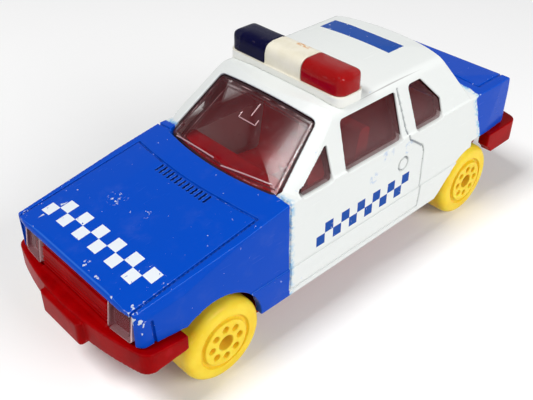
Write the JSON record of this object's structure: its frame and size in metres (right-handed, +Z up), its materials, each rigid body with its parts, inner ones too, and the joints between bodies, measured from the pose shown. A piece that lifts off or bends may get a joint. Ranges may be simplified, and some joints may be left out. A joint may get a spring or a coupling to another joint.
{
  "type": "toy police car",
  "caption": "Die-cast toy saloon with a two-tone body, roof light bar, tinted glazing, moulded base with bumpers, and wheels pressed on turning axles.",
  "frame": {"origin": "on the ground under the middle of the car's length and width", "axes": "+X towards the car's front, +Y to its left side, +Z up"},
  "size_m": [0.0746, 0.0264, 0.0312],
  "materials": {
    "body_paint": "gloss enamel on a zinc casting, white with blue hood, doors and lid",
    "tinted_clear": "clear moulded plastic with a rose tint",
    "interior_red": "red moulded plastic",
    "base_red": "red moulded plastic, worn pale at its edges",
    "lamp_clear": "clear moulded plastic with a rose tint",
    "ivory": "ivory moulded plastic",
    "lens_red": "translucent red plastic",
    "lens_blue": "translucent blue plastic",
    "axle_steel": "plain steel wire",
    "wheel_yellow": "yellow moulded plastic"
  },
  "bodies": {
    "car": {"body_shell": "body_paint", "window_glazing": "tinted_clear", "cabin_interior": "interior_red", "chassis_base": "base_red", "headlight_left": "lamp_clear", "headlight_right": "lamp_clear", "lightbar_base": "ivory", "lightbar_lens_red": "lens_red", "lightbar_lens_blue": "lens_blue"},
    "front_wheels": {"front_axle": "axle_steel", "wheel_front_left": "wheel_yellow", "wheel_front_right": "wheel_yellow"},
    "rear_wheels": {"rear_axle": "axle_steel", "wheel_rear_left": "wheel_yellow", "wheel_rear_right": "wheel_yellow"}
  },
  "joints": [
    {"name": "front_axle_spin", "type": "hinge", "parent": "car", "child": "front_wheels", "pos_m": [0.02365, 0, 0.0056], "axis": [0, 1, 0], "continuous": true},
    {"name": "rear_axle_spin", "type": "hinge", "parent": "car", "child": "rear_wheels", "pos_m": [-0.02435, 0, 0.0056], "axis": [0, 1, 0], "continuous": true}
  ]
}
